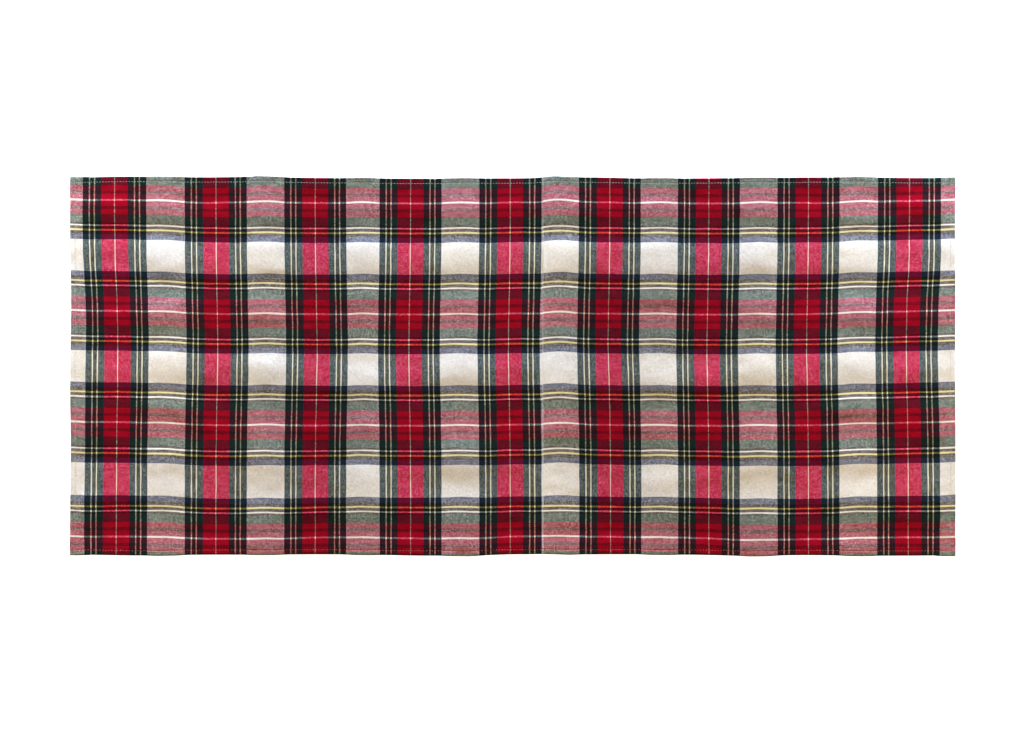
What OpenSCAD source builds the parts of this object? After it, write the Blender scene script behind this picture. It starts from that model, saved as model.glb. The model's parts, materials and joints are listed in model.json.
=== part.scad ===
// Table runner: one length of brushed cotton twill, turned twice under on all four sides and
// lockstitched. It lies flat with its face up, and has one crease across it, left by storage.
// +X runs along the runner, +Y across it, +Z up. The origin is the middle of the underside.

/* [Runner] */
// Finished length, along X
runner_l = 914; // [760:1:1100]
// Finished width, across Y
runner_w = 390; // [300:1:460]

/* [Cloth] */
// Thickness of the cloth
cloth_t = 0.6; // [0.4:0.05:0.8]

/* [Hems] */
// Finished width of the hem
hem_w = 7; // [6:0.5:12]
// Width over which the face layer comes down from the hem to the table
ramp_w = 5; // [3:0.5:8]
// Air left between two layers of a turned hem
layer_gap = 0.1; // [0.06:0.02:0.2]

/* [Hem stitching] */
// Distance of the stitch line from the inner fold of the hem
stitch_margin = 1.4; // [1:0.1:2.5]
// Width of a sewing thread, pressed flat on the cloth
thread_w = 0.4; // [0.3:0.05:0.6]
// Thickness of the pressed thread
thread_h = 0.3; // [0.2:0.02:0.36]

/* [Fold] */
// Place of the crease, as a share of the length from the left-hand end
crease_share = 0.534; // [0.3:0.001:0.7]
// Air left between the stitching of the two halves when they are folded together, which
// takes up the soft waves of the cloth
fold_gap = 2.4; // [0.4:0.1:5]
// How far the right-hand half is folded over: 0 lies flat, 180 lies on the other half
fold_angle = 0; // [0:1:180]

/* [Hidden] */

// Straight steps in the arc of a turned fold
arc_steps = 8;

// A hem is three layers of cloth: the face, the tucked raw edge, and the turning on the table
hem_h = 3 * cloth_t + 2 * layer_gap;
// A needle thread is sunk by half of its thickness
needle_z = hem_h - thread_h / 2;
stitch_inset = hem_w - stitch_margin;
// The cloth inside the hems and their ramps
border_w = hem_w + ramp_w;
left_x = -runner_l / 2;
crease_x = left_x + crease_share * runner_l;
// The halves turn about a line across the runner, just above the stitching
fold_axis = [crease_x, 0, needle_z + thread_h + fold_gap / 2];

cloth_red = [0.66, 0.07, 0.16];
cloth_green = [0.12, 0.25, 0.22];
thread_ivory = [0.93, 0.91, 0.86];

// ---- Cross-sections: finished edge at x = 0, towards the middle of the runner at +x, z up as y

// Points along an arc, by its centre, its radius and its first and last angle
function arc(centre, r, from_a, to_a) =
    [for (i = [0:arc_steps])
        let (a = from_a + (to_a - from_a) * i / arc_steps)
        centre + r * [cos(a), sin(a)]];

// The cloth's outline: over the face to the finished edge, under to the inner fold, and back
// out between the other two layers to the raw edge
module hem_layers() {
    edge_r = hem_h / 2;
    edge_centre = [edge_r, edge_r];
    inner_r = cloth_t + layer_gap / 2;
    inner_centre = [hem_w - inner_r, inner_r];

    polygon(concat(
        [[border_w, 0], [border_w, cloth_t], [hem_w, hem_h]],
        arc(edge_centre, edge_r, 90, 270),
        arc(inner_centre, inner_r, -90, 90),
        [[edge_r, 2 * inner_r], [edge_r, cloth_t + layer_gap]],
        arc(inner_centre, layer_gap / 2, 90, -90),
        arc(edge_centre, edge_r - cloth_t, 270, 90),
        [[hem_w, hem_h - cloth_t]]
    ));
}

module thread_section(z) {
    translate([stitch_inset - thread_w / 2, z]) square([thread_w, thread_h]);
}

module needle_section() { thread_section(needle_z); }

module bobbin_section() { thread_section(0); }

module hem_section() {
    difference() {
        hem_layers();
        needle_section();
        bobbin_section();
    }
}

// ---- Runs of a cross-section along the sides of the runner

// Along the front edge, from one x to another
module along_front(from_x, to_x) {
    translate([from_x, -runner_w / 2, 0])
        rotate([90, 0, 90]) linear_extrude(to_x - from_x) children();
}

// Across the left-hand end, over its full width
module across_left_end() {
    translate([left_x, runner_w / 2, 0])
        rotate([90, 0, 0]) linear_extrude(runner_w) children();
}

module along_front_left() { along_front(left_x + border_w, crease_x) children(); }

module along_front_right() { along_front(crease_x, -left_x - border_w) children(); }

module across_right_end() { mirror([1, 0, 0]) across_left_end() children(); }

module at_back() { mirror([0, 1, 0]) children(); }

// The right-hand half, turned about the fold
module right_half() {
    translate(fold_axis) rotate([0, -fold_angle, 0]) translate(-fold_axis) children();
}

// ---- Cloth inside the hems

module panel(from_x, to_x) {
    panel_w = runner_w - 2 * border_w;
    translate([from_x, -panel_w / 2, 0]) cube([to_x - from_x, panel_w, cloth_t]);
}

module panel_left() { color(cloth_red) panel(left_x + border_w, crease_x); }

module panel_right() { color(cloth_red) right_half() panel(crease_x, -left_x - border_w); }

// ---- Turned hems

module hem_front_left() { color(cloth_green) along_front_left() hem_section(); }

module hem_front_right() { color(cloth_green) right_half() along_front_right() hem_section(); }

module hem_back_left() { color(cloth_green) at_back() along_front_left() hem_section(); }

module hem_back_right() {
    color(cloth_green) right_half() at_back() along_front_right() hem_section();
}

module hem_end_left() { color(cloth_green) across_left_end() hem_section(); }

module hem_end_right() { color(cloth_green) right_half() across_right_end() hem_section(); }

// ---- Needle threads, on the face

module needle_thread_front_left() { color(thread_ivory) along_front_left() needle_section(); }

module needle_thread_front_right() {
    color(thread_ivory) right_half() along_front_right() needle_section();
}

module needle_thread_back_left() {
    color(thread_ivory) at_back() along_front_left() needle_section();
}

module needle_thread_back_right() {
    color(thread_ivory) right_half() at_back() along_front_right() needle_section();
}

module needle_thread_end_left() { color(thread_ivory) across_left_end() needle_section(); }

module needle_thread_end_right() {
    color(thread_ivory) right_half() across_right_end() needle_section();
}

// ---- Bobbin threads, on the underside

module bobbin_thread_front_left() { color(thread_ivory) along_front_left() bobbin_section(); }

module bobbin_thread_front_right() {
    color(thread_ivory) right_half() along_front_right() bobbin_section();
}

module bobbin_thread_back_left() {
    color(thread_ivory) at_back() along_front_left() bobbin_section();
}

module bobbin_thread_back_right() {
    color(thread_ivory) right_half() at_back() along_front_right() bobbin_section();
}

module bobbin_thread_end_left() { color(thread_ivory) across_left_end() bobbin_section(); }

module bobbin_thread_end_right() {
    color(thread_ivory) right_half() across_right_end() bobbin_section();
}

panel_left();
panel_right();
hem_front_left();
hem_front_right();
hem_back_left();
hem_back_right();
hem_end_left();
hem_end_right();
needle_thread_front_left();
needle_thread_front_right();
needle_thread_back_left();
needle_thread_back_right();
needle_thread_end_left();
needle_thread_end_right();
bobbin_thread_front_left();
bobbin_thread_front_right();
bobbin_thread_back_left();
bobbin_thread_back_right();
bobbin_thread_end_left();
bobbin_thread_end_right();
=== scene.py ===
"""A tartan table runner in brushed cotton twill, laid flat and seen from straight above.

The cloth is one closed sheet, turned twice under along all four edges, with a run of lockstitch
along each hem. Lengths are in millimetres and become metres where a mesh is made. x runs along
the runner, y runs across it towards the back edge, and z is up. Warp yarns run along y and weft
yarns along x. A place in the weave is (a, b): a counts across the warp stripes and b across the
weft stripes, in the millimetres of a tartan that lies perfectly straight.
"""

import json
import math

import bpy
import numpy as np
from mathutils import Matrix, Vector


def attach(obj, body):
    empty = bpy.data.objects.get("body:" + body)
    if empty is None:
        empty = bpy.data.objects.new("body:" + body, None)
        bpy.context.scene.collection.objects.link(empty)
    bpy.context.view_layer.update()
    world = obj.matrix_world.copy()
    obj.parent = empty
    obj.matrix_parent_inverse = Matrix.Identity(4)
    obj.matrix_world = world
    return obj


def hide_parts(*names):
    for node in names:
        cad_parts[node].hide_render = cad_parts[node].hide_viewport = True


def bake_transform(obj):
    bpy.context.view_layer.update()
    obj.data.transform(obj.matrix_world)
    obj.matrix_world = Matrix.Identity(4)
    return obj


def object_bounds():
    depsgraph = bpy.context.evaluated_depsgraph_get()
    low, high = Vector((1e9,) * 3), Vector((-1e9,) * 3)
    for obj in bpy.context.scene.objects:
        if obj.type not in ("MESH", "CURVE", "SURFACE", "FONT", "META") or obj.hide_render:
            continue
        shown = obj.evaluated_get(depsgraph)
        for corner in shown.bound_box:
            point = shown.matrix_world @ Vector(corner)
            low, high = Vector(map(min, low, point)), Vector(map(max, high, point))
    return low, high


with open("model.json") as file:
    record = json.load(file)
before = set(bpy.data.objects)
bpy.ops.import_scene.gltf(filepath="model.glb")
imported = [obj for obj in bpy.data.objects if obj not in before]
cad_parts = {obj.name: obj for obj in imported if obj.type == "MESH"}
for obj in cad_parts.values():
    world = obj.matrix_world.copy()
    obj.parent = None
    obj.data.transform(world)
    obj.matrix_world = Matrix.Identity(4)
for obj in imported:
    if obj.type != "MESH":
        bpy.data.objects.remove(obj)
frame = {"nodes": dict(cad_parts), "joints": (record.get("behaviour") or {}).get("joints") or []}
cad_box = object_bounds()

MM = 0.001
TINY = 1e-9

# ------------ dimensions

HALF_L = cad_box[1].x / MM
HALF_W = cad_box[1].y / MM
HINGE = frame["joints"][0]["pos_m"]
CREASE_X = HINGE[0] / MM

CLOTH_T = 0.6            # thickness of the brushed cloth
LAYER_GAP = 0.1          # air between the layers of a hem
HEM_W = 7.0              # width of a finished hem
RAMP_W = 18.0            # width over which the face comes down from a hem to the table
STITCH_INSET = 5.6       # finished edge to seam
SEAM_PRESS_W = 0.55      # reach of the groove that a seam presses
SEAM_PRESS_TOP = 0.18    # how far the needle thread pulls the face down
SEAM_PRESS_LOW = 0.25    # how far the bobbin thread pulls the underside up

LAYER_PITCH = CLOTH_T + LAYER_GAP
LOW_Z = CLOTH_T / 2                      # middle of the lowest layer
MID_Z = LOW_Z + LAYER_PITCH              # middle of the tucked raw edge
TOP_Z = MID_Z + LAYER_PITCH              # middle of the face over a hem
HEM_TOP = TOP_Z + CLOTH_T / 2

OUTER_R = (TOP_Z - LOW_Z) / 2            # the fold at the finished edge
INNER_R = (MID_Z - LOW_Z) / 2            # the fold inside the hem
OUTER_D = OUTER_R + CLOTH_T / 2          # finished edge to the axis of the outer fold
INNER_D = HEM_W - INNER_R - CLOTH_T / 2  # finished edge to the axis of the inner fold
RAW_D = 1.0                              # finished edge to the raw edge tucked inside

OUTER_END = math.pi * OUTER_R
LOWER_END = OUTER_END + INNER_D - OUTER_D
INNER_END = LOWER_END + math.pi * INNER_R
ALLOWANCE = INNER_END + INNER_D - RAW_D

ALONG_STEP = 2.0         # spacing of the mesh along the runner
ACROSS_STEP = 3.0        # spacing of the mesh across it
CREASE_STEP = 0.5        # spacing of the mesh next to the crease
CREASE_ZONE = 4.0        # half width of the finer mesh there
ZONE_GAP = 0.4           # least gap beside that mesh, as a share of the plain spacing

# ------------ how the cloth lies

LIFT_LIMIT = 2.6         # the cloth between the hems lifts no further than this
HEM_LIFT_LIMIT = 1.0     # nor a hem further than this, before the curl of the back edge
LEVELLING = 6            # how sharply the lift levels off at those limits
NAP_GAP = 0.03           # the nap of the underside holds the cloth this far off the table
BASE_LIFT = 0.15         # the least slack in the cloth

# How far in from an edge the stiff hem starts and stops holding the cloth flat.
END_HOLD = (2.0, 24.0)
BACK_HOLD = (8.0, 24.0)
FRONT_HOLD = (0.0, 26.0)
BACK_CURL = 0.4          # how far the back edge curls up in the pale bands
BACK_CURL_REACH = 10.0   # how far in from the back edge the curl starts
HEM_FOLLOW = 0.1         # share of the body's lift that a hem follows
PUCKER_LIFT = 0.28       # how far the hems pucker between stitches

# Soft rolls along the runner. Each has the y of its crest and its height in each pale band,
# counted from the middle out, and how far it spreads towards the back and towards the front.
# The tighter dark bands hold the cloth flatter.
PALE_BANDS = np.array([53.0, 152.0, 253.0, 357.0, 450.0])
ROLLS = [
    ((163, 160, 161, 157, 160), (1.9, 1.4, 1.8, 1.7, 2.1), 25, 14),
    ((119, 120, 119, 119, 124), (1.4, 1.6, 1.4, 1.3, 1.5), 13, 19),
    ((101, 101, 101, 102, 101), (0.7, 0.5, 0.8, 0.7, 0.0), 22, 8),
    ((62, 74, 62, 58, 56), (0.9, 0.7, 0.9, 1.6, 0.7), 12, 14),
    ((-3, -17, -3, 3, -2), (1.5, 1.1, 1.5, 1.7, 0.9), 16, 18),
    ((-62, -64, -62, -42, -45), (0.4, 0.6, 0.4, 1.7, 1.0), 13, 13),
    ((-100, -116, -101, -98, -112), (1.5, 1.0, 1.3, 0.9, 0.4), 20, 13),
    ((-160, -145, -160, -146, -148), (1.5, 1.7, 1.5, 1.1, 1.5), 22, 30),
]

# Short rolls in single pale bands: the middle's x and y, the height, and how far the roll spreads
# towards the back and towards the front. The first list is the same on both sides of the middle.
PAIRED_SHORT_ROLLS = [
    (253, 50, 0.8, 25, 8),
    (253, -82, 0.6, 12, 32),
    (357, 44, 0.6, 10, 9),
    (357, -98, 0.6, 12, 16),
    (450, -72, 1.2, 25, 8),
    (450, -140, 0.7, 8, 30),
    (420, 168, 1.1, 11, 14),
]
SHORT_ROLLS = [
    (-53, -82, 0.5, 12, 32),
    (50, -30, 0.8, 30, 9),
    (50, -62, 1.1, 20, 18),
    (50, -158, 1.3, 25, 13),
    (152, 70, 0.8, 25, 9),
]
SHORT_ROLL_REACH = 26.0  # how far a short roll spreads along x
CREST_WANDER = 1.5       # how far a long roll's crest wanders to either side
CREST_SEED = 50          # the first roll's seed; each further roll takes the next one
ROLL_GAIN = 1.1          # the long rolls are this many times as high as listed
DARK_BAND_HOLD = 0.45    # share of a roll's height lost in a dark band

PILLOW_LIFT = 0.4        # how far the pale cells stand up between the tighter dark bands
PILLOW_ROUND = 0.75      # under 1, a pillow is full nearly to its rim
PILLOW_IN_DARK_WEFT = 0.25    # share of that height where the pale warp crosses a dark weft band

WARP_PALE_FROM = (0.30, 0.98)    # distances from a pivot at which a pale band starts and is whole
WEFT_PALE_FROM = (0.42, 0.98)

# Seeded unevenness. Each has its seed, how many waves it sums, their shortest and longest
# lengths, and how many times longer they are along x. CREST_WAVES has its seeds in CREST_SEED.
MIDDLE_WAVES = (11, 14, 24, 56, 2.0)
BROAD_WAVES = (12, 10, 80, 180, 1.4)
FINE_WAVES = (15, 18, 12, 26, 1.2)
PUCKER_WAVES = (13, 12, 16, 34, 1.0)
SIDE_WAVES = (21, 9, 60, 190, 1.0)
END_WAVES = (22, 6, 60, 190, 1.0)
CREST_WAVES = (5, 70, 210, 1.0)

MIDDLE_HEIGHT = 0.16
BROAD_HEIGHT = 0.12
FINE_HEIGHT_DARK = 0.15  # the fine waves are higher in the dark bands
FINE_HEIGHT_PALE = 0.09

CREASE_FLANK = 0.45      # lift of the cloth beside the crease
CREASE_REACH = 9.0       # how far from the crease that lift is greatest
CREASE_FLANK_W = 8.0     # how far that lift spreads to either side
CREASE_DIP = 0.8         # share of the lift that the crease itself presses out
CREASE_DIP_W = 3.2
CREASE_HOLD = 0.95       # share of a long roll's height lost on the crease's right
CREASE_HOLD_X = CREASE_X + 20.0
CREASE_HOLD_W = 38.0
CREASE_HOLD_Y = (90.0, 50.0)    # that loss starts at the first y and is whole at the second


def smoothstep(low, high, value):
    t = np.clip((value - low) / (high - low), 0.0, 1.0)
    return t * t * (3 - 2 * t)


def bell(distance, width):
    return np.exp(-((distance / width) ** 2))


def rise(start, end):
    """A soft rise from 0 to 1 from one place to another, which may be the smaller one."""
    return lambda place: smoothstep(start, end, place)


def bump(middle, width):
    """A soft bump of height 1 around a place."""
    return lambda place: bell(place - middle, width)


def everywhere(place):
    return 1.0


def sum_of(terms, x, y):
    """The sum of terms, each a size, how it varies along the runner and how it varies across."""
    return sum(size * along(x) * across(y) for size, along, across in terms)


def wave_field(x, y, seed, count, shortest, longest, lengthwise):
    """Smooth seeded unevenness of about -1 to 1. A lengthwise over 1 draws it out along x."""
    draw = np.random.default_rng(seed)
    total = np.zeros(np.broadcast(x, y).shape)
    for _ in range(count):
        length = draw.uniform(shortest, longest)
        angle = draw.uniform(0, math.pi)
        phase = draw.uniform(0, 2 * math.pi)
        along = x * math.cos(angle) / lengthwise
        total = total + np.sin(2 * math.pi * (along + y * math.sin(angle)) / length + phase)
    return total / math.sqrt(count)


def along_roll(x, values):
    """A value along a roll, by smooth steps between those given for each pale band."""
    out = np.clip(np.abs(x), PALE_BANDS[0], PALE_BANDS[-1] - 0.1)
    k = np.searchsorted(PALE_BANDS, out, side="right") - 1
    share = (out - PALE_BANDS[k]) / (PALE_BANDS[k + 1] - PALE_BANDS[k])
    values = np.array(values, dtype=float)
    return values[k] + (values[k + 1] - values[k]) * smoothstep(0.0, 1.0, share)


def long_rolls(x, y):
    """Height of the soft rolls that run along the whole runner."""
    total = np.zeros(x.shape)
    for number, (crest, height, back, front) in enumerate(ROLLS):
        wander = CREST_WANDER * wave_field(x, 0.0 * y, CREST_SEED + number, *CREST_WAVES)
        from_crest = y - along_roll(x, crest) - wander
        spread = np.where(from_crest > 0, back, front)
        total = total + along_roll(x, height) * bell(from_crest, spread)
    return total


def short_rolls(x, y, rolls):
    """Height of the rolls that only single pale bands have."""
    total = np.zeros(x.shape)
    for middle, crest, height, back, front in rolls:
        spread = np.where(y > crest, back, front)
        total = total + height * bell(x - middle, SHORT_ROLL_REACH) * bell(y - crest, spread)
    return total


def held_under(height, limit):
    """The height itself while it is small, levelling off at the limit."""
    height = np.maximum(height, 0.0)
    return height / (1 + (height / limit) ** LEVELLING) ** (1 / LEVELLING)


def paleness(x, y):
    """How far into a pale band a place is: in the warp's bands, and in the weft's."""
    warp_pale = smoothstep(*WARP_PALE_FROM, warp_distance(x, y))
    weft_pale = smoothstep(*WEFT_PALE_FROM, weft_distance(x, y))
    return warp_pale, weft_pale


def rolled(x, y, warp_pale):
    """Height of all the rolls, flattened by the dark bands and beside the crease."""
    held_by_dark = DARK_BAND_HOLD * (1 - warp_pale)
    held_by_crease = CREASE_HOLD * bell(x - CREASE_HOLD_X, CREASE_HOLD_W)
    held_by_crease = held_by_crease * smoothstep(*CREASE_HOLD_Y, y)
    long = ROLL_GAIN * long_rolls(x, y) * (1 - held_by_dark) * (1 - held_by_crease)
    short = short_rolls(np.abs(x), y, PAIRED_SHORT_ROLLS) + short_rolls(x, y, SHORT_ROLLS)
    return long + short


def unevenness(x, y, warp_pale):
    """Small waves of three sizes over the whole runner."""
    fine_height = FINE_HEIGHT_DARK + (FINE_HEIGHT_PALE - FINE_HEIGHT_DARK) * warp_pale
    middle = MIDDLE_HEIGHT * wave_field(x, y, *MIDDLE_WAVES)
    broad = BROAD_HEIGHT * wave_field(x, y, *BROAD_WAVES)
    return middle + broad + fine_height * wave_field(x, y, *FINE_WAVES)


def body_lift(x, y, warp_pale, weft_pale):
    """Height of the underside where no hem holds the cloth."""
    by_weft = PILLOW_IN_DARK_WEFT + (1 - PILLOW_IN_DARK_WEFT) * weft_pale
    pillows = PILLOW_LIFT * warp_pale ** PILLOW_ROUND * by_weft
    height = BASE_LIFT + rolled(x, y, warp_pale) + pillows + unevenness(x, y, warp_pale)
    from_crease = np.abs(x - CREASE_X)
    height = height + CREASE_FLANK * bell(from_crease - CREASE_REACH, CREASE_FLANK_W)
    height = height * (1 - CREASE_DIP * bell(from_crease, CREASE_DIP_W))
    return held_under(height, LIFT_LIMIT)


def hem_lift(x, y, body, warp_pale):
    """Height of the underside where a hem holds the cloth."""
    pucker = 0.5 + 0.5 * wave_field(x + y, x - y, *PUCKER_WAVES)
    height = held_under(HEM_FOLLOW * body + PUCKER_LIFT * pucker, HEM_LIFT_LIMIT)
    return height + BACK_CURL * warp_pale * smoothstep(BACK_CURL_REACH, 0.0, HALF_W - y)


def lift(x, y):
    """Height of the cloth's underside above the table at a place on the finished runner."""
    warp_pale, weft_pale = paleness(x, y)
    body = body_lift(x, y, warp_pale, weft_pale)
    hem = hem_lift(x, y, body, warp_pale)
    freedom = smoothstep(*END_HOLD, HALF_L - np.abs(x))
    freedom = freedom * smoothstep(*BACK_HOLD, HALF_W - y)
    freedom = freedom * smoothstep(*FRONT_HOLD, HALF_W + y)
    return NAP_GAP + hem + (body - hem) * freedom


# Where a long edge leaves its straight line: the middle, the half width, and how far out it goes,
# or in if less than 0.
BACK_SWELLS = [
    (-405, 45, 0.9),
    (-330, 130, 1.0),
    (-258, 22, 0.7),
    (-85, 110, -0.5),
    (42, 16, 1.2),
    (78, 40, 1.1),
    (150, 80, -0.6),
    (325, 70, 1.0),
]
FRONT_SWELLS = [
    (-385, 55, 1.2),
    (-85, 50, 1.5),
    (-38, 22, 0.9),
    (40, 14, -0.6),
    (170, 40, 0.6),
    (245, 40, 1.3),
    (375, 90, 1.6),
]
END_EASE_LEFT = 0.1      # how far each end stands out past its straight line
END_EASE_RIGHT = 1.0
BAND_BULGE = 0.6         # how much further out a pale band's edge stands than a dark one's
BAND_BULGE_MEAN = 0.4    # share of that taken off everywhere, so that the edge keeps its place
BAND_BULGE_FROM = (0.5, 0.85)
SIDE_WAVER = 0.2
END_WAVER = 0.35
SIDE_WAVER_REACH = 45.0  # how far in from a long edge its waver is felt
END_WAVER_REACH = 60.0
APART = 500.0            # where the waves are read, so that opposite edges differ


def swell(x, swells):
    return sum(distance * bell(x - middle, width) for middle, width, distance in swells)


def edge_waver(x, y):
    """Sideways waver of the finished edges, in x and in y. Pale bands bulge past dark ones."""
    end, side = np.sign(x), np.sign(y)
    ease = np.where(x > 0, END_EASE_RIGHT, END_EASE_LEFT)
    end_out = ease + END_WAVER * wave_field(end * APART, y, *END_WAVES)
    bulge = BAND_BULGE * (smoothstep(*BAND_BULGE_FROM, warp_distance(x, y)) - BAND_BULGE_MEAN)
    swells = np.where(y > 0, swell(x, BACK_SWELLS), swell(x, FRONT_SWELLS))
    side_out = SIDE_WAVER * wave_field(x, side * APART, *SIDE_WAVES) + bulge + swells
    near_end = smoothstep(END_WAVER_REACH, 0.0, HALF_L - np.abs(x))
    near_side = smoothstep(SIDE_WAVER_REACH, 0.0, HALF_W - np.abs(y))
    return end * near_end * end_out, side * near_side * side_out


def lay_out(points):
    """Moves points of the flat, hemmed runner to where they lie on the table."""
    x, y, z = points.T
    from_seam = np.minimum(HALF_L - np.abs(x), HALF_W - np.abs(y)) - STITCH_INSET
    share = np.clip(z / HEM_TOP, 0.0, 1.0)
    press = SEAM_PRESS_LOW * (1 - share) - SEAM_PRESS_TOP * share
    pressed = z + press * bell(from_seam, SEAM_PRESS_W)
    return lay_out_thread(np.column_stack([x, y, pressed]))


def lay_out_thread(points):
    """As lay_out, without the press of the seam, which the thread's own height already holds."""
    x, y, z = points.T
    dx, dy = edge_waver(x, y)
    return np.column_stack([x + dx, y + dy, z + lift(x, y)])


# ------------ the tartan

# Half a repeat of each set of stripes, from one pivot to the next: yarn and width. The stripes
# are mirrored at both pivots.
WARP_SETT = [
    ("cream", 0.39),
    ("red", 12.81),
    ("bottle", 6.22),
    ("cream", 1.08),
    ("black", 3.99),
    ("cream", 1.08),
    ("bottle", 6.33),
    ("ecru", 19.55),
]
WEFT_SETT = [
    ("white", 0.85),
    ("crimson", 5.3),
    ("dusk", 3.2),
    ("crimson", 5.25),
    ("green", 8.7),
    ("black", 2.2),
    ("white", 1.6),
    ("black", 3.05),
    ("yellow", 1.8),
    ("black", 3.55),
    ("blue", 5.4),
    ("ecru", 16.55),
]

WARP_YARNS = {
    "cream": (224, 222, 186),
    "red": (168, 2, 26),
    "bottle": (19, 32, 35),
    "black": (23, 28, 24),
    "ecru": (227, 222, 213),
}
WEFT_YARNS = {
    "white": (237, 228, 220),
    "crimson": (116, 12, 27),
    "dusk": (50, 15, 22),
    "black": (18, 13, 10),
    "green": (26, 40, 34),
    "yellow": (219, 188, 86),
    "blue": (28, 33, 57),
    "ecru": (223, 213, 207),
}

WARP_REPEAT = 2 * sum(width for _, width in WARP_SETT)
WEFT_REPEAT = 2 * sum(width for _, width in WEFT_SETT)
WARP_PIVOT = -2.95       # x of the red band nearest the middle
WEFT_PIVOT = -60.05      # y of the crimson band nearest the middle

# Real stripes don't lie quite straight. From here to the shifts is how far they have moved.
NARROW_X = -155.0        # the pale warp band here is woven narrower than the rest
NARROW_BY = 5.6
NARROW_HALF = 12.0       # half of the width in which those millimetres are missing

BOW = 1.85               # how far the warp stripes on both sides bow towards that band
BOW_Y = 18.0             # y at which they bow most
BOW_SPREAD = 72.0
BOW_MEAN = 0.62          # taken off everywhere, so that a bowed stripe keeps its place
BOW_TURN = 20.0          # half width over which the bow changes sides

ARCH = 0.9               # how far the weft stripes arch towards the back in a pale warp band
ARCH_FROM = (0.45, 1.0)
ARCH_MEAN = 0.4
CREASE_FLAT_X = CREASE_X + 25.0    # here, in front of the middle, the arches are flatter,
CREASE_FLAT_REACH = 35.0
CREASE_FLAT_Y = (-40.0, -80.0)
CREASE_FLAT = 0.5        # by this share,
CREASE_FLAT_BACK = 0.4   # and the stripes stand this much further back

JOG = 1.3                # on the crease's right the stripes stand up to this much further back
JOG_X = CREASE_X + 19.0
JOG_REACH = 22.0
JOG_HALF = 1.2           # half width of the step that this makes at the crease
JOG_Y = (-150.0, -115.0)

# Small shifts of the warp stripes to the right, and of the weft stripes to the back: how far,
# where along the runner, and where across it. The paired ones are alike left and right.
WARP_SHIFTS = [
    (0.5, rise(-340.0, -410.0), rise(20.0, -60.0)),
    (-1.1, rise(-340.0, -410.0), rise(60.0, 115.0)),
    (1.3, rise(350.0, 400.0), rise(60.0, 115.0)),
    (0.8, bump(110.0, 50.0), rise(30.0, -20.0)),
    (0.4, bump(-295.0, 35.0), everywhere),
    (-0.65, rise(150.0, 175.0), everywhere),
    (-0.9, rise(-400.0, -440.0), everywhere),
    (0.45, bump(CREASE_X, 8.0), everywhere),
]
WEFT_SHIFTS = [
    (2.9, rise(-300.0, -412.0), everywhere),
    (2.7, rise(305.0, 440.0), everywhere),
    (-0.6, bump(240.0, 60.0), everywhere),
    (0.85, bump(45.0, 50.0), everywhere),
    (0.8, bump(2.0, 22.0), everywhere),
    (0.5, bump(103.0, 28.0), everywhere),
    (-1.2, bump(-10.0, 320.0), everywhere),
]
PAIRED_WEFT_SHIFTS = [
    (-0.8, everywhere, rise(-126.0, -142.0)),
    (-0.7, rise(180.0, 260.0), rise(-126.0, -142.0)),
    (-1.0, rise(380.0, 440.0), rise(-126.0, -142.0)),
    (-0.9, rise(190.0, 250.0), rise(-60.0, -100.0)),
    (-0.9, rise(290.0, 330.0), rise(145.0, 172.0)),
]


def weave_a(x, y):
    """Place across the warp stripes of the yarn at a place on the runner."""
    narrowed = NARROW_BY * smoothstep(NARROW_X + NARROW_HALF, NARROW_X - NARROW_HALF, x)
    side = 1.0 - 2.0 * smoothstep(NARROW_X - BOW_TURN, NARROW_X + BOW_TURN, x)
    bow = side * (BOW * bell(y - BOW_Y, BOW_SPREAD) - BOW_MEAN)
    return x - narrowed - bow - sum_of(WARP_SHIFTS, x, y)


def weave_b(x, y):
    """Place across the weft stripes of the yarn at a place on the runner."""
    flatter = bell(x - CREASE_FLAT_X, CREASE_FLAT_REACH) * smoothstep(*CREASE_FLAT_Y, y)
    arch = ARCH * (smoothstep(*ARCH_FROM, warp_distance(x, y)) - ARCH_MEAN)
    arch = arch * (1 - CREASE_FLAT * flatter) + CREASE_FLAT_BACK * flatter
    jog = JOG * bell(x - JOG_X, JOG_REACH) * smoothstep(*JOG_Y, y)
    jog = jog * smoothstep(CREASE_X - JOG_HALF, CREASE_X + JOG_HALF, x)
    shifts = sum_of(WEFT_SHIFTS, x, y) + sum_of(PAIRED_WEFT_SHIFTS, np.abs(x), y)
    return y - arch - jog - shifts


def fold(value, repeat):
    """Distance from the nearest pivot, as a share of half a repeat."""
    return np.abs((value / repeat + 0.5) % 1.0 - 0.5) * 2.0


def warp_distance(x, y):
    """0 in the middle of a red warp band, rising to 1 in the middle of a pale one."""
    return fold(weave_a(x, y) - WARP_PIVOT, WARP_REPEAT)


def weft_distance(x, y):
    """0 in the middle of a crimson weft band, rising to 1 in the middle of a pale one."""
    return fold(weave_b(x, y) - WEFT_PIVOT, WEFT_REPEAT)


# ------------ the cloth's mesh

FACE, OUTER_FOLD, LOWER = 0, 1, 2    # the parts of a hem's section, from the runner's middle on

# Rows of vertices in a hem's section: how many there are, or how far each is from the edge.
RAMP_ROWS = 11
OUTER_ROWS = 9
INNER_ROWS = 7
RAW_ROWS = 5
FACE_INSETS = (3.8, 2.4, 1.5)
LOWER_INSETS = (2.2, 3.6)
SEAM_ROWS = (0.9, 0.5, 0.25, 0.0, -0.25, -0.5, -0.9)    # from the seam, towards the middle


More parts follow.
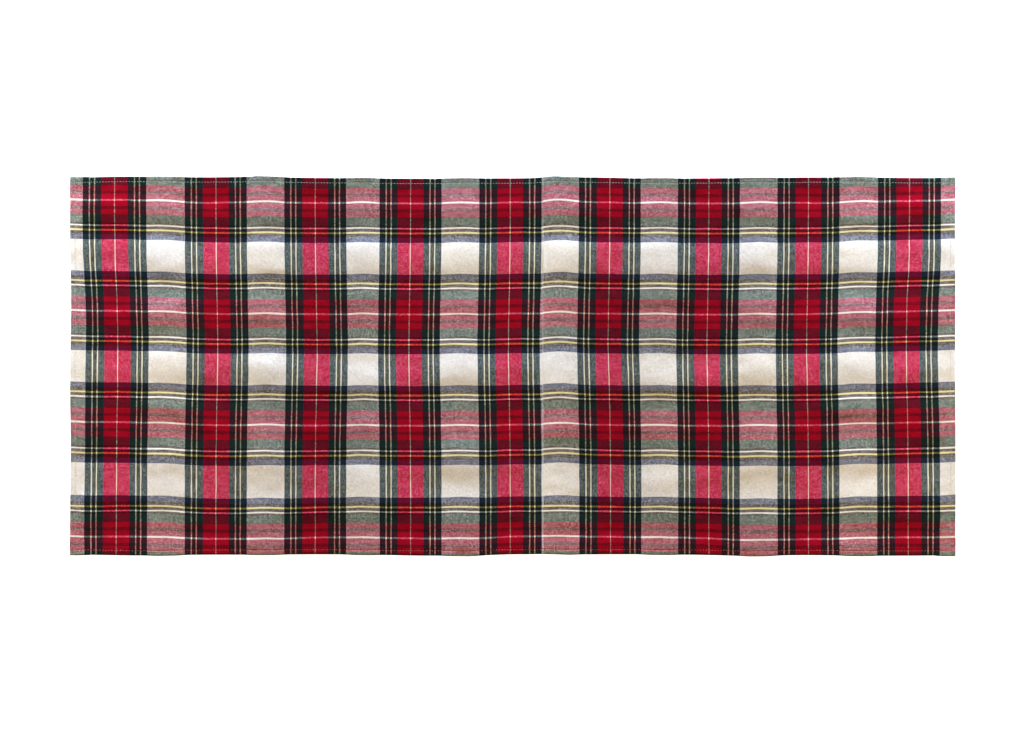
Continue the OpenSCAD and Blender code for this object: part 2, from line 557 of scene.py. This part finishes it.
def turned_edge(q):
    """The middle of the cloth along a hem's section, at lengths q past the outer fold's start.

    Returns the inset from the finished edge, the height above the table and the layer.
    """
    turn = q / OUTER_R
    tuck = (q - LOWER_END) / INNER_R
    ramp = TOP_Z + (LOW_Z - TOP_Z) * smoothstep(HEM_W, HEM_W + RAMP_W, OUTER_D - q)
    part = [q < 0, q < OUTER_END, q < LOWER_END, q < INNER_END]
    inset = np.select(
        part,
        [
            OUTER_D - q,
            OUTER_D - OUTER_R * np.sin(turn),
            OUTER_D + (q - OUTER_END),
            INNER_D + INNER_R * np.sin(tuck),
        ],
        INNER_D - (q - INNER_END),
    )
    height = np.select(
        part,
        [
            ramp,
            MID_Z + OUTER_R * np.cos(turn),
            np.full_like(q, LOW_Z),
            LOW_Z + INNER_R * (1 - np.cos(tuck)),
        ],
        MID_Z,
    )
    layer = np.where(q <= 0, FACE, np.where(q < OUTER_END + TINY, OUTER_FOLD, LOWER))
    return inset, height, layer


def hem_stations():
    """The lengths q at which the section of a hem has a row of vertices."""
    seam = STITCH_INSET + np.array(SEAM_ROWS)
    ramp = OUTER_D - np.linspace(HEM_W + RAMP_W, HEM_W, RAMP_ROWS)
    face = OUTER_D - np.concatenate([seam, FACE_INSETS])
    outer = np.linspace(0, OUTER_END, OUTER_ROWS)
    lower = OUTER_END - OUTER_D + np.concatenate([LOWER_INSETS, seam[::-1][:-1]])
    inner = np.linspace(LOWER_END, INNER_END, INNER_ROWS)
    raw = np.linspace(INNER_END, ALLOWANCE, RAW_ROWS)[1:]
    return np.concatenate([ramp, face, outer, lower, inner, raw])


def stations(half, spacing, fine_at=None):
    """Lengths along the cut cloth, from edge to edge, where the mesh has a line."""
    hem = half - OUTER_D + hem_stations()
    reach = hem[0]
    inner = np.linspace(-reach, reach, int(round(2 * reach / spacing)) + 1)[1:-1]
    if fine_at is not None:
        inner = inner[np.abs(inner - fine_at) > CREASE_ZONE + ZONE_GAP * spacing]
        count = int(round(2 * CREASE_ZONE / CREASE_STEP)) + 1
        inner = np.concatenate([inner, fine_at + np.linspace(-CREASE_ZONE, CREASE_ZONE, count)])
    return np.sort(np.concatenate([-hem, inner, hem]))


def cloth_grid():
    """Middle surface of the hemmed cloth: a grid of points, of flat places, and the quads kept.

    At a corner the long side's allowance is cut away under the end's hem, as it is when a corner
    is trimmed before sewing.
    """
    along = stations(HALF_L, ALONG_STEP, CREASE_X)
    across = stations(HALF_W, ACROSS_STEP)
    end_inset, end_height, end_layer = turned_edge(np.abs(along) - (HALF_L - OUTER_D))
    side_inset, side_height, side_layer = turned_edge(np.abs(across) - (HALF_W - OUTER_D))
    x, y = on_grid(np.sign(along) * (HALF_L - end_inset), np.sign(across) * (HALF_W - side_inset))
    high_end, high_side = on_grid(end_height, side_height)
    on_end, on_side = on_grid(end_layer, side_layer)
    on_face = (on_end == FACE) & (on_side == FACE)
    z = np.where(on_face, np.maximum(high_end, high_side), np.minimum(high_end, high_side))
    under_end = np.abs(along) > HALF_L - HEM_W - CLOTH_T
    quad_under = np.maximum(under_end[:-1], under_end[1:])[:, None]
    quad_on_end = np.maximum(on_end[:-1, :-1], on_end[1:, :-1])
    quad_on_side = np.maximum(on_side[:-1, :-1], on_side[:-1, 1:])
    trimmed = (quad_on_side == LOWER) & quad_under
    trimmed |= (quad_on_side == OUTER_FOLD) & (quad_on_end == LOWER)
    return np.stack([x, y, z], axis=-1), np.stack(on_grid(along, across), axis=-1), ~trimmed


def on_grid(along, across):
    return np.meshgrid(along, across, indexing="ij")


def surface_normals(points, quads):
    """The surface's direction at each point, from the quads around it."""
    corners = points[quads]
    face = np.cross(corners[:, 2] - corners[:, 0], corners[:, 3] - corners[:, 1])
    normals = np.zeros_like(points)
    for k in range(4):
        np.add.at(normals, quads[:, k], face)
    length = np.linalg.norm(normals, axis=1, keepdims=True)
    return normals / np.maximum(length, TINY)


def close_shell(quads, offset):
    """Both sides of a sheet of quads, and the narrow faces along its raw edges."""
    edges = np.concatenate([quads[:, [k, (k + 1) % 4]] for k in range(4)])
    keys = np.sort(edges, axis=1)
    _, first, counts = np.unique(keys, axis=0, return_index=True, return_counts=True)
    rim = edges[first[counts == 1]]
    rim_quads = np.column_stack([rim[:, 1], rim[:, 0], rim[:, 0] + offset, rim[:, 1] + offset])
    return np.concatenate([quads, quads[:, ::-1] + offset, rim_quads])


def cloth_mesh():
    """Vertices, faces and flat places of the cloth: a closed shell, hemmed but not laid out."""
    grid, flat, kept = cloth_grid()
    rows, columns = grid.shape[:2]
    index = np.arange(rows * columns).reshape(rows, columns)
    quads = np.stack([index[:-1, :-1], index[1:, :-1], index[1:, 1:], index[:-1, 1:]], axis=-1)
    quads = quads[kept]
    used, packed = np.unique(quads, return_inverse=True)
    quads = packed.reshape(-1, 4)
    middle = grid.reshape(-1, 3)[used]
    flat = flat.reshape(-1, 2)[used]
    normals = surface_normals(middle, quads)
    vertices = np.concatenate([middle + normals * CLOTH_T / 2, middle - normals * CLOTH_T / 2])
    return vertices, close_shell(quads, len(middle)), np.concatenate([flat, flat])


# ------------ making objects

def new_mesh(name, vertices, faces, smooth=True):
    """A mesh object from an array of points in millimetres and an array of faces."""
    mesh = bpy.data.meshes.new(name)
    mesh.vertices.add(len(vertices))
    mesh.vertices.foreach_set("co", (np.asarray(vertices) * MM).astype(np.float32).ravel())
    faces = np.asarray(faces, dtype=np.int32)
    sides = faces.shape[1]
    mesh.loops.add(faces.size)
    mesh.loops.foreach_set("vertex_index", faces.ravel())
    mesh.polygons.add(len(faces))
    mesh.polygons.foreach_set("loop_start", np.arange(0, faces.size, sides, dtype=np.int32))
    mesh.polygons.foreach_set("use_smooth", np.full(len(faces), smooth))
    mesh.update(calc_edges=True)
    mesh.validate()
    thing = bpy.data.objects.new(name, mesh)
    bpy.context.scene.collection.objects.link(thing)
    return thing


def store_vectors(thing, name, values):
    """Keeps three numbers a vertex on the mesh, for its material to read."""
    attribute = thing.data.attributes.new(name, "FLOAT_VECTOR", "POINT")
    attribute.data.foreach_set("vector", np.asarray(values, dtype=np.float32).ravel())


def make_cloth():
    vertices, faces, flat = cloth_mesh()
    cloth = new_mesh("runner_cloth", lay_out(vertices), faces)
    x, y = flat.T
    store_vectors(cloth, "weave", np.column_stack([weave_a(x, y), weave_b(x, y), x - CREASE_X]))
    return cloth


# ------------ hem stitches

STITCH_PITCH = 3.0
STITCH_GAP = 0.45        # between one stitch and the next, where the needle went in
STITCH_JITTER = 0.16     # how far a hole may be from its even place along the seam
STITCH_SWAY = 0.09       # and to either side of it
THREAD_R = 0.17
THREAD_PLUMP = (0.9, 1.08)    # the least and greatest share of that radius
THREAD_TIP = 0.62        # a stitch's radius at its tips, as a share of that at its middle
TIP_ROUND = 0.5          # under 1, a stitch stays thick nearly to its tips
BOW_ROUND = 0.6          # and level nearly to them
THREAD_SIDES = 6
THREAD_RINGS = 7
THREAD_RISE = 0.06       # how far the middle of a stitch stands above the pressed cloth
FRONT_RISE = -0.09       # the same for the needle thread of the front seam, sunk in the nap
THREAD_SINK = 0.3        # how far its ends go in
BOBBIN_SINK = 0.09       # how much deeper the whole bobbin thread lies in its groove

FACE_REST_Z = HEM_TOP - SEAM_PRESS_TOP
UNDER_REST_Z = SEAM_PRESS_LOW + BOBBIN_SINK

FIRST_SEED = 40
SEAMS = ["front", "right", "back", "left"]    # each a quarter turn on from the one before


def stitch_run(seed, length):
    """The holes of a seam, and each stitch's sway and plumpness, with a machine's unevenness."""
    draw = np.random.default_rng(seed)
    count = int(length // STITCH_PITCH)
    holes = (np.arange(count + 1) - count / 2) * (length / count)
    holes[1:-1] += draw.uniform(-STITCH_JITTER, STITCH_JITTER, count - 1)
    sway = draw.uniform(-STITCH_SWAY, STITCH_SWAY, (count, 2))
    plump = draw.uniform(*THREAD_PLUMP, count)
    return holes, sway, plump


def stitch_tubes(seed, length, on_face, top):
    """Vertices, faces and thread places of a run of stitches along x, centred on the origin."""
    holes, sway, plump = stitch_run(seed, length)
    t = np.linspace(0, 1, THREAD_RINGS)
    angle = 2 * math.pi * np.arange(THREAD_SIDES) / THREAD_SIDES
    bow = np.sin(math.pi * t) ** BOW_ROUND
    rise_on_face = top * bow - THREAD_SINK * (1 - bow)
    level = FACE_REST_Z + rise_on_face if on_face else UNDER_REST_Z - rise_on_face
    taper = THREAD_TIP + (1 - THREAD_TIP) * np.sin(math.pi * t) ** TIP_ROUND
    vertices, faces, places = [], [], []
    for k in range(len(holes) - 1):
        start = holes[k] + STITCH_GAP / 2
        end = holes[k + 1] - STITCH_GAP / 2
        along = start + (end - start) * t
        across = sway[k, 0] + (sway[k, 1] - sway[k, 0]) * t
        radius = THREAD_R * plump[k] * taper
        tube = np.empty((THREAD_RINGS, THREAD_SIDES, 3))
        tube[..., 0] = along[:, None]
        tube[..., 1] = across[:, None] + radius[:, None] * np.cos(angle)
        tube[..., 2] = level[:, None] + radius[:, None] * np.sin(angle)
        vertices.append(tube.reshape(-1, 3))
        place = np.empty_like(tube)
        place[..., 0] = along[:, None]
        place[..., 1] = angle / (2 * math.pi)
        place[..., 2] = k
        places.append(place.reshape(-1, 3))
        faces.append(tube_faces(k * THREAD_RINGS * THREAD_SIDES))
    return np.concatenate(vertices), np.concatenate(faces), np.concatenate(places)


def tube_faces(first):
    """The quads round one stitch, whose vertices start at the one given."""
    ring = np.arange(THREAD_SIDES)
    rings = []
    for j in range(THREAD_RINGS - 1):
        low = first + j * THREAD_SIDES + ring
        low_next = first + j * THREAD_SIDES + (ring + 1) % THREAD_SIDES
        rings.append(np.column_stack([low, low_next, low_next + THREAD_SIDES, low + THREAD_SIDES]))
    return np.concatenate(rings)


def cap_tubes(faces, count):
    """The faces that close both ends of each six-sided tube, as pairs of quads."""
    caps = []
    for k in range(count):
        base = k * THREAD_RINGS * THREAD_SIDES
        last = base + (THREAD_RINGS - 1) * THREAD_SIDES
        caps.append([base + 3, base + 2, base + 1, base])
        caps.append([base + 5, base + 4, base + 3, base])
        caps.append([last, last + 1, last + 2, last + 3])
        caps.append([last, last + 3, last + 4, last + 5])
    return np.concatenate([faces, np.array(caps)])


def runs_lengthwise(side):
    return SEAMS.index(side) % 2 == 0


def make_stitches(name, side, on_face):
    """One seam's thread on one side of the cloth."""
    turn = SEAMS.index(side)
    lengthwise = runs_lengthwise(side)
    half_run = (HALF_L if lengthwise else HALF_W) - STITCH_INSET
    inset = (HALF_W if lengthwise else HALF_L) - STITCH_INSET
    trim = 0.0 if lengthwise else STITCH_PITCH
    top = FRONT_RISE if on_face and side == "front" else THREAD_RISE
    length = 2 * (half_run - trim)
    vertices, faces, places = stitch_tubes(FIRST_SEED + turn, length, on_face, top)
    faces = cap_tubes(faces, len(vertices) // (THREAD_RINGS * THREAD_SIDES))
    x, y, z = vertices.T
    y = y - inset
    for _ in range(turn):
        x, y = -y, x
    thread = new_mesh(name, lay_out_thread(np.column_stack([x, y, z])), faces)
    store_vectors(thread, "thread", places)
    return thread


# ------------ materials

MIX_POWER = 0.18         # dyed fibres brushed together darken each other, as this power mean does
WARP_SHARE = 0.56        # share of the face that is warp
TWILL_A = 1.8            # width of four warp yarns, after which the twill repeats
TWILL_B = 2.07           # width of four weft yarns
BUMP_DEPTH = 0.0003      # metres
PLY_PITCH = 0.62         # length of thread in which its plies go round once
PLY_DEPTH = 0.00008      # metres

COOL_TINT = (0.985, 1.0, 1.02, 1.0)
WARM_TINT = (1.01, 0.995, 0.95, 1.0)
LINT_COLOUR = (214, 206, 196)
# the pale bluish colour of the painted highlight along the crease
CREASE_HIGHLIGHT_COLOUR = (222, 222, 234)
# the colour in the hollows between plies, darker as painted shade
THREAD_PLY_SHADE = (150, 146, 134)
THREAD_PLY = (208, 203, 191)
THREAD_DUSTY = (172, 167, 155)

# Painted light and shade: soft changes of brightness that no shape explains, with how much
# lighter or darker each makes the cloth. "OUT" is how far from the runner's middle a place is
# along it.
ENDS_PAINTED_LIGHT = 0.1
ENDS_OUT = (250.0, 430.0)
CORNERS_PAINTED_LIGHT = 0.12     # only the two corners at the back
CORNERS_OUT = (370.0, 430.0)
CORNERS_Y = (105.0, 150.0)
PATCH_PAINTED_SHADE = -0.13     # on the crease's right
PATCH_X = 105.0
PATCH_REACH = (75.0, 20.0)
PATCH_FRONT_Y = (-175.0, -105.0)
PATCH_BACK_Y = (140.0, 80.0)
FLANKS_PAINTED_SHADE = -0.07
FLANKS_OUT = 200.0
FLANKS_REACH = (85.0, 20.0)


def linear(level):
    """A display level from 0 to 255 as linear light."""
    value = level / 255
    return value / 12.92 if value <= 0.04045 else ((value + 0.055) / 1.055) ** 2.4


def colour(levels):
    return tuple(linear(level) for level in levels) + (1.0,)


def softened(levels):
    """A yarn's colour raised to the power in which yarns are mixed."""
    return tuple(linear(level) ** MIX_POWER for level in levels) + (1.0,)


class Graph:
    """Writes a material's nodes, one short call for each.

    Noises are read at places joined from two coordinates that mean something and a third that
    doesn't: it only makes one noise differ from the next.
    """

    def __init__(self, name):
        self.material = bpy.data.materials.new(name)
        self.material.use_nodes = True
        self.tree = self.material.node_tree
        self.tree.nodes.clear()

    def node(self, kind, inputs=(), **settings):
        made = self.tree.nodes.new(kind)
        for key, value in settings.items():
            setattr(made, key, value)
        for key, value in dict(inputs).items():
            self.feed(made.inputs[key], value)
        return made

    def feed(self, socket, value):
        if isinstance(value, bpy.types.NodeSocket):
            self.tree.links.new(value, socket)
        else:
            socket.default_value = value

    def math(self, operation, a, b=0.0, c=0.0):
        made = self.node("ShaderNodeMath", operation=operation)
        for socket, value in zip(made.inputs, (a, b, c)):
            self.feed(socket, value)
        return made.outputs[0]

    def add(self, a, b):
        return self.math("ADD", a, b)

    def times(self, a, b):
        return self.math("MULTIPLY", a, b)

    def total(self, first, *others):
        for other in others:
            first = self.add(first, other)
        return first

    def scaled(self, value, by, plus=0.0):
        return self.math("MULTIPLY_ADD", value, by, plus)

    def swing(self, noise, size, middle=0.0):
        """A noise from 0 to 1, made to swing by size about a middle."""
        return self.scaled(noise, size, middle - size / 2)

    def away_from(self, value, place=0.0):
        return self.math("ABSOLUTE", self.scaled(value, 1.0, -place) if place else value)

    def attribute(self, name):
        return self.node("ShaderNodeAttribute", attribute_name=name).outputs["Vector"]

    def split(self, vector):
        return self.node("ShaderNodeSeparateXYZ", {0: vector}).outputs

    def join(self, x, y, z=0.0):
        return self.node("ShaderNodeCombineXYZ", {0: x, 1: y, 2: z}).outputs[0]

    def noise(self, vector, scale=1.0, detail=2.0, roughness=0.5):
        inputs = {"Vector": vector, "Scale": scale, "Detail": detail, "Roughness": roughness}
        return self.node("ShaderNodeTexNoise", inputs).outputs["Fac"]

    def white_noise(self, vector):
        return self.node("ShaderNodeTexWhiteNoise", {"Vector": vector}).outputs["Value"]

    def remap(self, value, low, high, to_low=0.0, to_high=1.0):
        inputs = {0: value, 1: low, 2: high, 3: to_low, 4: to_high}
        return self.node("ShaderNodeMapRange", inputs, interpolation_type="SMOOTHSTEP").outputs[0]

    def mix(self, factor, a, b, blend="MIX"):
        made = self.node("ShaderNodeMix", data_type="RGBA", blend_type=blend, clamp_factor=True)
        for key, value in ((0, factor), (6, a), (7, b)):
            self.feed(made.inputs[key], value)
        return made.outputs[2]

    def bands(self, distance, sett, yarns):
        """Stripes of yarn by distance from a pivot, as a share of half a repeat."""
        ramp = self.node("ShaderNodeValToRGB", {0: distance})
        ramp.color_ramp.interpolation = "CONSTANT"
        half_repeat = sum(width for _, width in sett)
        elements = ramp.color_ramp.elements
        elements.remove(elements[1])
        reached = 0.0
        for k, (yarn, width) in enumerate(sett):
            element = elements[0] if k == 0 else elements.new(reached / half_repeat)
            element.position = reached / half_repeat
            element.color = softened(yarns[yarn])
            reached += width
        return ramp.outputs[0]

    def finish(self, **inputs):
        named = {name.replace("_", " "): value for name, value in inputs.items()}
        shader = self.node("ShaderNodeBsdfPrincipled", named)
        output = self.node("ShaderNodeOutputMaterial")
        self.tree.links.new(shader.outputs[0], output.inputs[0])
        return self.material


def pivot_distance(g, place, pivot, repeat):
    """Distance from the nearest pivot of a set of stripes, as a share of half a repeat."""
    half = repeat / 2
    return g.times(g.math("PINGPONG", g.scaled(place, 1.0, -pivot), half), 1 / half)


class Weave:
    """Where a point of the cloth is in the weave, as sockets of its material."""

    def __init__(self, g):
        self.a, self.b, self.from_crease = g.split(g.attribute("weave"))

        # Yarns wander by a fraction of a millimetre along their length.
        stray_a = g.noise(g.join(g.times(self.a, 0.30), g.times(self.b, 0.055)), detail=3.0)
        stray_b = g.noise(g.join(g.times(self.a, 0.055), g.times(self.b, 0.30), 7.0), detail=3.0)
        self.yarn_a = g.add(self.a, g.swing(stray_a, 1.0))
        self.yarn_b = g.add(self.b, g.swing(stray_b, 1.0))

        # The twill's diagonal, and which float, two yarns long, a point is on.
        turn_a = g.times(self.yarn_a, 2 * math.pi / TWILL_A)
        turn_b = g.times(self.yarn_b, 2 * math.pi / TWILL_B)
        self.twill = g.math("SINE", g.add(turn_a, turn_b))
        self.float_a = g.math("FLOOR", g.times(self.a, 2 / TWILL_A))
        stagger = g.times(self.float_a, 0.5)
        self.float_b = g.math("FLOOR", g.add(g.times(self.b, 2 / TWILL_B), stagger))

        place = g.join(g.times(self.a, 0.8), self.b, 9.0)
        self.nap = g.noise(place, scale=0.7, detail=3.0, roughness=0.7)


def woven_colour(g, weave):
    """The yarns' colours, mixed by how much of each shows."""
    warp_from_pivot = pivot_distance(g, weave.yarn_a, WARP_PIVOT, WARP_REPEAT)
    weft_from_pivot = pivot_distance(g, weave.yarn_b, WEFT_PIVOT, WEFT_REPEAT)
    warp = g.bands(warp_from_pivot, WARP_SETT, WARP_YARNS)
    weft = g.bands(weft_from_pivot, WEFT_SETT, WEFT_YARNS)

    # Thick and thin places in single yarns, and single fibres brushed over their neighbours.
    slub_warp = g.noise(g.join(g.times(weave.a, 1.1), g.times(weave.b, 0.05), 3.0), detail=2.0)
    slub_weft = g.noise(g.join(g.times(weave.a, 0.05), g.times(weave.b, 1.1), 5.0), detail=2.0)
    fluff = g.white_noise(g.join(weave.float_a, weave.float_b, 2.0))
    weft_shows = g.total(
        g.scaled(weave.twill, 0.08, 1 - WARP_SHARE),
        g.swing(slub_weft, 0.3),
        g.swing(slub_warp, -0.16),
        g.swing(weave.nap, 0.32),
        g.swing(fluff, 0.3),
    )
    mixed = g.mix(weft_shows, warp, weft)
    return g.node("ShaderNodeGamma", {0: mixed, 1: 1 / MIX_POWER}).outputs[0]


def tone_with_painted_light(g, weave):
    """How light or dark the cloth is, about 1: uneven dye and brushing, with broad painted light
    and shade.
    """
    a, b = weave.a, weave.b
    patch = g.noise(g.join(a, b, 13.0), scale=0.016, detail=3.0)
    grain = g.noise(g.join(g.times(a, 0.5), b, 15.0), scale=0.5, detail=3.0, roughness=0.7)
    fluff = g.white_noise(g.join(weave.float_a, weave.float_b, 5.0))
    diagonal = g.times(g.add(a, b), 0.32)
    hatch = g.noise(g.join(diagonal, g.times(a, 0.06), 27.0), detail=2.0)
    out = g.away_from(a)
    # Painted shade in a patch on the crease's right and in two flanks; painted light at the ends
    # and back corners.
    painted_shade_patch = g.remap(g.away_from(a, PATCH_X), *PATCH_REACH)
    painted_shade_patch = g.times(painted_shade_patch, g.remap(b, *PATCH_FRONT_Y))
    painted_shade_flanks = g.remap(g.away_from(out, FLANKS_OUT), *FLANKS_REACH)
    corners = g.times(g.remap(out, *CORNERS_OUT), g.remap(b, *CORNERS_Y))
    return g.total(
        g.swing(patch, 0.16, 1.0),
        g.swing(grain, 0.36),
        g.swing(fluff, 0.2),
        g.swing(hatch, 0.16),
        g.remap(out, *ENDS_OUT, 0.0, ENDS_PAINTED_LIGHT),
        g.times(painted_shade_patch, g.remap(b, *PATCH_BACK_Y, 0.0, PATCH_PAINTED_SHADE)),
        g.times(painted_shade_flanks, FLANKS_PAINTED_SHADE),
        g.times(corners, CORNERS_PAINTED_LIGHT),
    )


def colour_with_painted_light(g, weave, woven):
    """The woven colours with tone and painted light, soft tinted patches, lint, and a painted
    crease highlight.
    """
    tone = tone_with_painted_light(g, weave)
    toned = g.mix(1.0, woven, g.join(tone, tone, tone), "MULTIPLY")
    warmth = g.noise(g.join(g.times(weave.a, 0.6), weave.b, 21.0), scale=0.011, detail=2.0)
    tint = g.mix(g.remap(warmth, 0.35, 0.65), COOL_TINT, WARM_TINT)
    tinted = g.mix(1.0, toned, tint, "MULTIPLY")
    lint = g.noise(g.join(weave.a, weave.b, 17.0), scale=1.3, detail=2.0)
    linted = g.mix(g.remap(lint, 0.74, 0.82, 0.0, 0.16), tinted, colour(LINT_COLOUR))

    # The fold has been pressed sharp; a pale bluish line along it is a painted highlight, stronger
    # towards the front.
    highlight_place = g.join(g.times(weave.from_crease, 0.8), g.times(weave.b, 0.12), 19.0)
    highlight_break = g.noise(highlight_place, detail=3.0)
    line = g.remap(g.away_from(weave.from_crease, 0.2), 1.3, 0.4)
    toward_front = g.remap(weave.b, 60.0, -120.0, 0.5, 1.0)
    crease_highlight_share = g.times(g.times(line, toward_front), g.remap(highlight_break, 0.3, 0.7, 0.15, 0.5))
    return g.mix(crease_highlight_share, linted, colour(CREASE_HIGHLIGHT_COLOUR))


def weave_bump(g, weave):
    """The height of the yarns and nap, as a bump."""
    ridge_warp = g.math("ABSOLUTE", g.math("SINE", g.times(weave.yarn_a, 4 * math.pi / TWILL_A)))
    ridge_weft = g.math("ABSOLUTE", g.math("SINE", g.times(weave.yarn_b, 4 * math.pi / TWILL_B)))
    over = g.remap(weave.twill, -0.35, 0.35)
    yarns = g.add(g.times(ridge_warp, g.scaled(over, -1.0, 1.0)), g.times(ridge_weft, over))
    relief = g.add(g.times(yarns, 0.5), g.times(weave.nap, 0.9))
    inputs = {"Height": relief, "Strength": 0.35, "Distance": BUMP_DEPTH}
    return g.node("ShaderNodeBump", inputs).outputs[0]


def cloth_material():
    """Yarn-dyed 2/2 twill in a tartan, brushed to a soft nap."""
    g = Graph("tartan_twill")
    weave = Weave(g)
    return g.finish(
        Base_Color=colour_with_painted_light(g, weave, woven_colour(g, weave)),
        Roughness=g.remap(weave.nap, 0.3, 0.7, 0.84, 0.95),
        Normal=weave_bump(g, weave),
        Specular_IOR_Level=0.01,
        Sheen_Weight=0.04,
        Sheen_Roughness=0.5,
    )


def thread_material():
    """Off-white two-ply spun thread."""
    g = Graph("off_white_thread")
    along, around, stitch = g.split(g.attribute("thread"))
    plied = g.times(along, 2 * math.pi / PLY_PITCH)
    ply = g.math("SINE", g.add(plied, g.times(around, 4 * math.pi)))
    fuzz = g.noise(g.join(along, around, stitch), scale=2.2, detail=3.0)
    # The hollows between the plies are painted darker: painted shade.
    plies = g.mix(g.scaled(ply, 0.5, 0.5), colour(THREAD_PLY_SHADE), colour(THREAD_PLY))
    dusty = g.mix(g.remap(fuzz, 0.45, 0.75, 0.0, 0.5), plies, colour(THREAD_DUSTY))
    inputs = {"Height": g.add(ply, fuzz), "Strength": 0.5, "Distance": PLY_DEPTH}
    return g.finish(
        Base_Color=dusty,
        Roughness=g.remap(fuzz, 0.3, 0.7, 0.7, 0.9),
        Normal=g.node("ShaderNodeBump", inputs).outputs[0],
        Specular_IOR_Level=0.25,
        Sheen_Weight=0.1,
        Sheen_Roughness=0.5,
    )


TABLE_GLOW = 1.0         # the table is a lit white surface, so it shows no shadow
TABLE_TONES = (0.985, 0.985, 0.985, 1.0), (0.995, 0.995, 0.995, 1.0)
WHITE = (1.0, 1.0, 1.0, 1.0)


def floor_material():
    """A near-white table top with a faint mottle."""
    g = Graph("pale_table")
    place = g.node("ShaderNodeTexCoord").outputs["Object"]
    speck = g.noise(place, scale=3.0, detail=2.0)
    return g.finish(
        Base_Color=g.mix(speck, *TABLE_TONES),
        Roughness=0.9,
        Specular_IOR_Level=0.0,
        Emission_Color=WHITE,
        Emission_Strength=TABLE_GLOW,
    )


# ------------ stage, light and camera

FLOOR_HALF = 14000.0     # wide enough that a low view still ends on it

KEY_ELEVATION = 10.0     # degrees above the table
KEY_HEADINGS = {"left": 123.0, "right": 57.0}    # degrees round from +x, both behind the runner
KEY_DISTANCE = 1750.0    # from the runner's middle
KEY_WIDTH = 800.0        # size of each lamp
KEY_HEIGHT = 320.0
KEY_COLOUR = (0.50, 0.645, 0.86)    # share of the light on the table that comes from the key
WHITE_LEVEL = 1.09       # light on the flat table, where 1 shows a perfect white as white


def make_floor():
    half = FLOOR_HALF
    corners = [(-half, -half, 0.0), (half, -half, 0.0), (half, half, 0.0), (-half, half, 0.0)]
    floor = new_mesh("table_top", corners, [(0, 1, 2, 3)], smooth=False)
    floor.data.materials.append(floor_material())


def make_key(side):
    """One of a pair of low soft lamps behind the runner, which together give WHITE_LEVEL."""
    elevation = math.radians(KEY_ELEVATION)
    heading = math.radians(KEY_HEADINGS[side])
    distance = KEY_DISTANCE * MM
    lamp = bpy.data.lights.new(f"key_{side}", "AREA")
    lamp.shape = "RECTANGLE"
    lamp.size = KEY_WIDTH * MM
    lamp.size_y = KEY_HEIGHT * MM
    share = WHITE_LEVEL / len(KEY_HEADINGS)
    lamp.energy = math.pi ** 2 * distance ** 2 * share / math.sin(elevation)
    lamp.color = KEY_COLOUR
    thing = bpy.data.objects.new(f"key_{side}", lamp)
    away = distance * math.cos(elevation)
    height = distance * math.sin(elevation)
    thing.location = (away * math.cos(heading), away * math.sin(heading), height)
    thing.rotation_euler = (math.pi / 2 - elevation, 0.0, heading + math.pi / 2)
    thing.visible_camera = False
    bpy.context.scene.collection.objects.link(thing)


def make_lights():
    """The pair of key lamps and the room's own soft light, whose colours add up to white."""
    for side in KEY_HEADINGS:
        make_key(side)
    world = bpy.data.worlds.new("soft_room")
    world.use_nodes = True
    background = world.node_tree.nodes["Background"]
    background.inputs["Color"].default_value = tuple(1 - share for share in KEY_COLOUR) + (1.0,)
    background.inputs["Strength"].default_value = WHITE_LEVEL
    bpy.context.scene.world = world
    bpy.context.scene.view_settings.view_transform = "Standard"


CAMERA_HEIGHT = 3000.0
FRAME_SHARE = 0.8643     # the runner's share of the frame's width
FRAME_RIGHT = -0.5       # how far right of the runner's middle the camera stands
FRAME_BACK = -1.9        # and how far behind it
CLIP_NEAR = 50.0
CLIP_FAR = 30000.0


def make_camera():
    """Straight above the runner, looking down."""
    data = bpy.data.cameras.new("camera")
    frame_width = 2 * HALF_L / FRAME_SHARE
    data.lens = data.sensor_width * (CAMERA_HEIGHT - HEM_TOP) / frame_width
    data.clip_start = CLIP_NEAR * MM
    data.clip_end = CLIP_FAR * MM
    camera = bpy.data.objects.new("camera", data)
    camera.location = (FRAME_RIGHT * MM, FRAME_BACK * MM, CAMERA_HEIGHT * MM)
    bpy.context.scene.collection.objects.link(camera)
    bpy.context.scene.camera = camera


# ------------ the runner


def bend_at_crease(piece):
    """Bakes the piece's placement into its mesh; it does not make the piece follow either half."""
    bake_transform(piece)


def make_runner():
    cloth = make_cloth()
    cloth.data.materials.append(cloth_material())
    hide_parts(*[n for n in frame["nodes"] if n.startswith(("panel", "hem"))])
    bend_at_crease(cloth)
    threads = make_threads()


def make_threads():
    off_white = thread_material()
    threads = []
    for side in SEAMS:
        for kind, on_face in (("needle", True), ("bobbin", False)):
            thread = make_stitches(f"{kind}_stitches_{side}", side, on_face)
            thread.data.materials.append(off_white)
            place = side if runs_lengthwise(side) else f"end_{side}"
            cad_name = f"{kind}_thread_{place}"
            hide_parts(*[n for n in frame["nodes"] if n.startswith(cad_name)])
            if runs_lengthwise(side):
                bend_at_crease(thread)
            else:
                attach(thread, f"{side}_half")
            threads.append(thread)
    return threads


make_camera()
make_lights()
make_floor()
make_runner()
